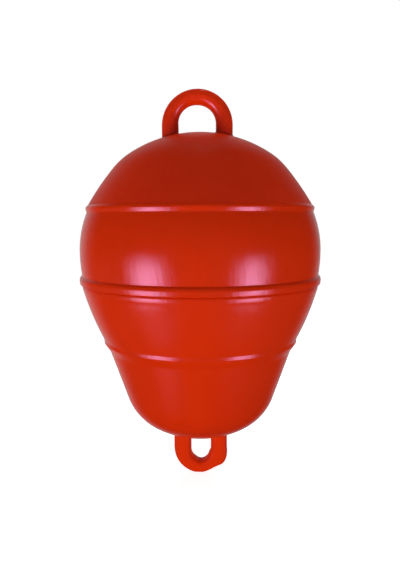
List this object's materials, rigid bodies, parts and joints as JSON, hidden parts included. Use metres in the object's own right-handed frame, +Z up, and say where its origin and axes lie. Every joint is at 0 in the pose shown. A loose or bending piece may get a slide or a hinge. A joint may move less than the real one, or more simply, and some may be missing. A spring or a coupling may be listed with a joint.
{
  "type": "pear-shaped mooring buoy",
  "caption": "Red-orange hard plastic pear-shaped mooring buoy, two ribbed shells joined at a beaded seam, round lifting eye on top and flat mooring lug below.",
  "frame": {"origin": "on the buoy's axis, in the middle plane of the seam bead, which is the waterline", "axes": "+Z up the buoy's axis towards the top eye; both eyes lie in the XZ plane and open along Y"},
  "size_m": [0.25, 0.2498, 0.4073],
  "materials": {
    "shell_plastic": "glossy moulded",
    "eye_plastic": "semi-gloss moulded"
  },
  "bodies": {
    "root": {"upper_shell": "shell_plastic", "lower_shell": "shell_plastic", "top_eye": "eye_plastic", "bottom_eye": "eye_plastic"}
  },
  "joints": []
}
